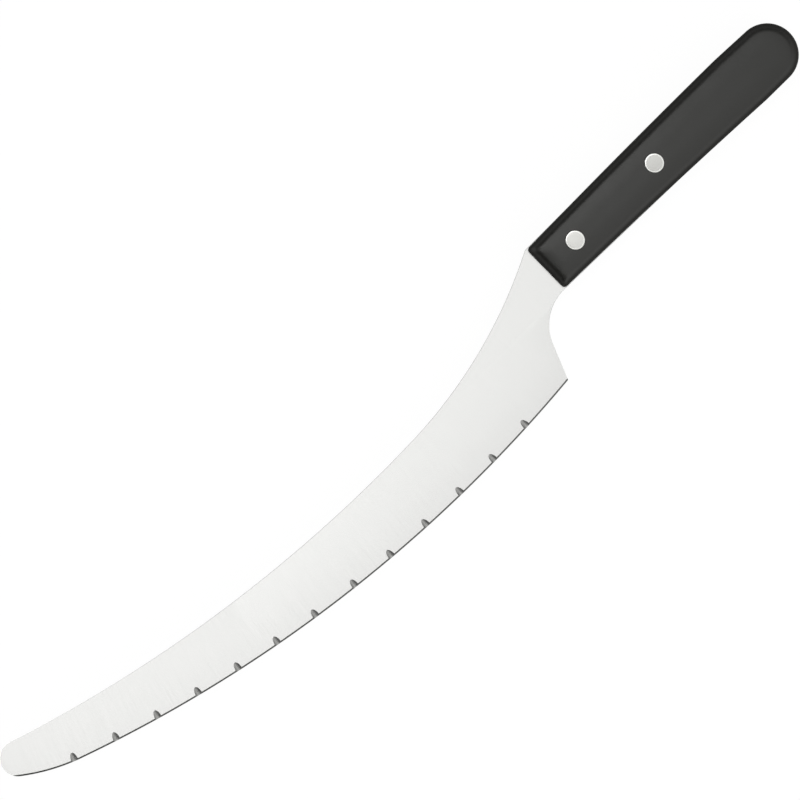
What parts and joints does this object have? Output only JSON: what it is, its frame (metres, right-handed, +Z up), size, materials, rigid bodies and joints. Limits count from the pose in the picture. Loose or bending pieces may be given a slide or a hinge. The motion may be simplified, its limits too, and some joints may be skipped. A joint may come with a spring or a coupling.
{
  "type": "cake knife",
  "caption": "Cake knife with a long, gently curved steel blade, a finely fluted cutting edge and a rounded tip, on a slim dark plastic handle held by rivets.",
  "frame": {"origin": "on the flat underside of the handle, on the handle's axis, halfway between the two rivets", "axes": "+X along the handle towards its butt, +Y towards the spine of the blade, +Z up out of the fluted face"},
  "size_m": [0.3952, 0.0509, 0.014],
  "materials": {
    "blade_steel": "satin",
    "handle_plastic": "satin",
    "rivet_metal": "satin"
  },
  "bodies": {
    "root": {"blade": "blade_steel", "handle": "handle_plastic", "front_rivet_pin": "rivet_metal", "front_rivet_tube": "rivet_metal", "rear_rivet_pin": "rivet_metal", "rear_rivet_tube": "rivet_metal"}
  },
  "joints": []
}
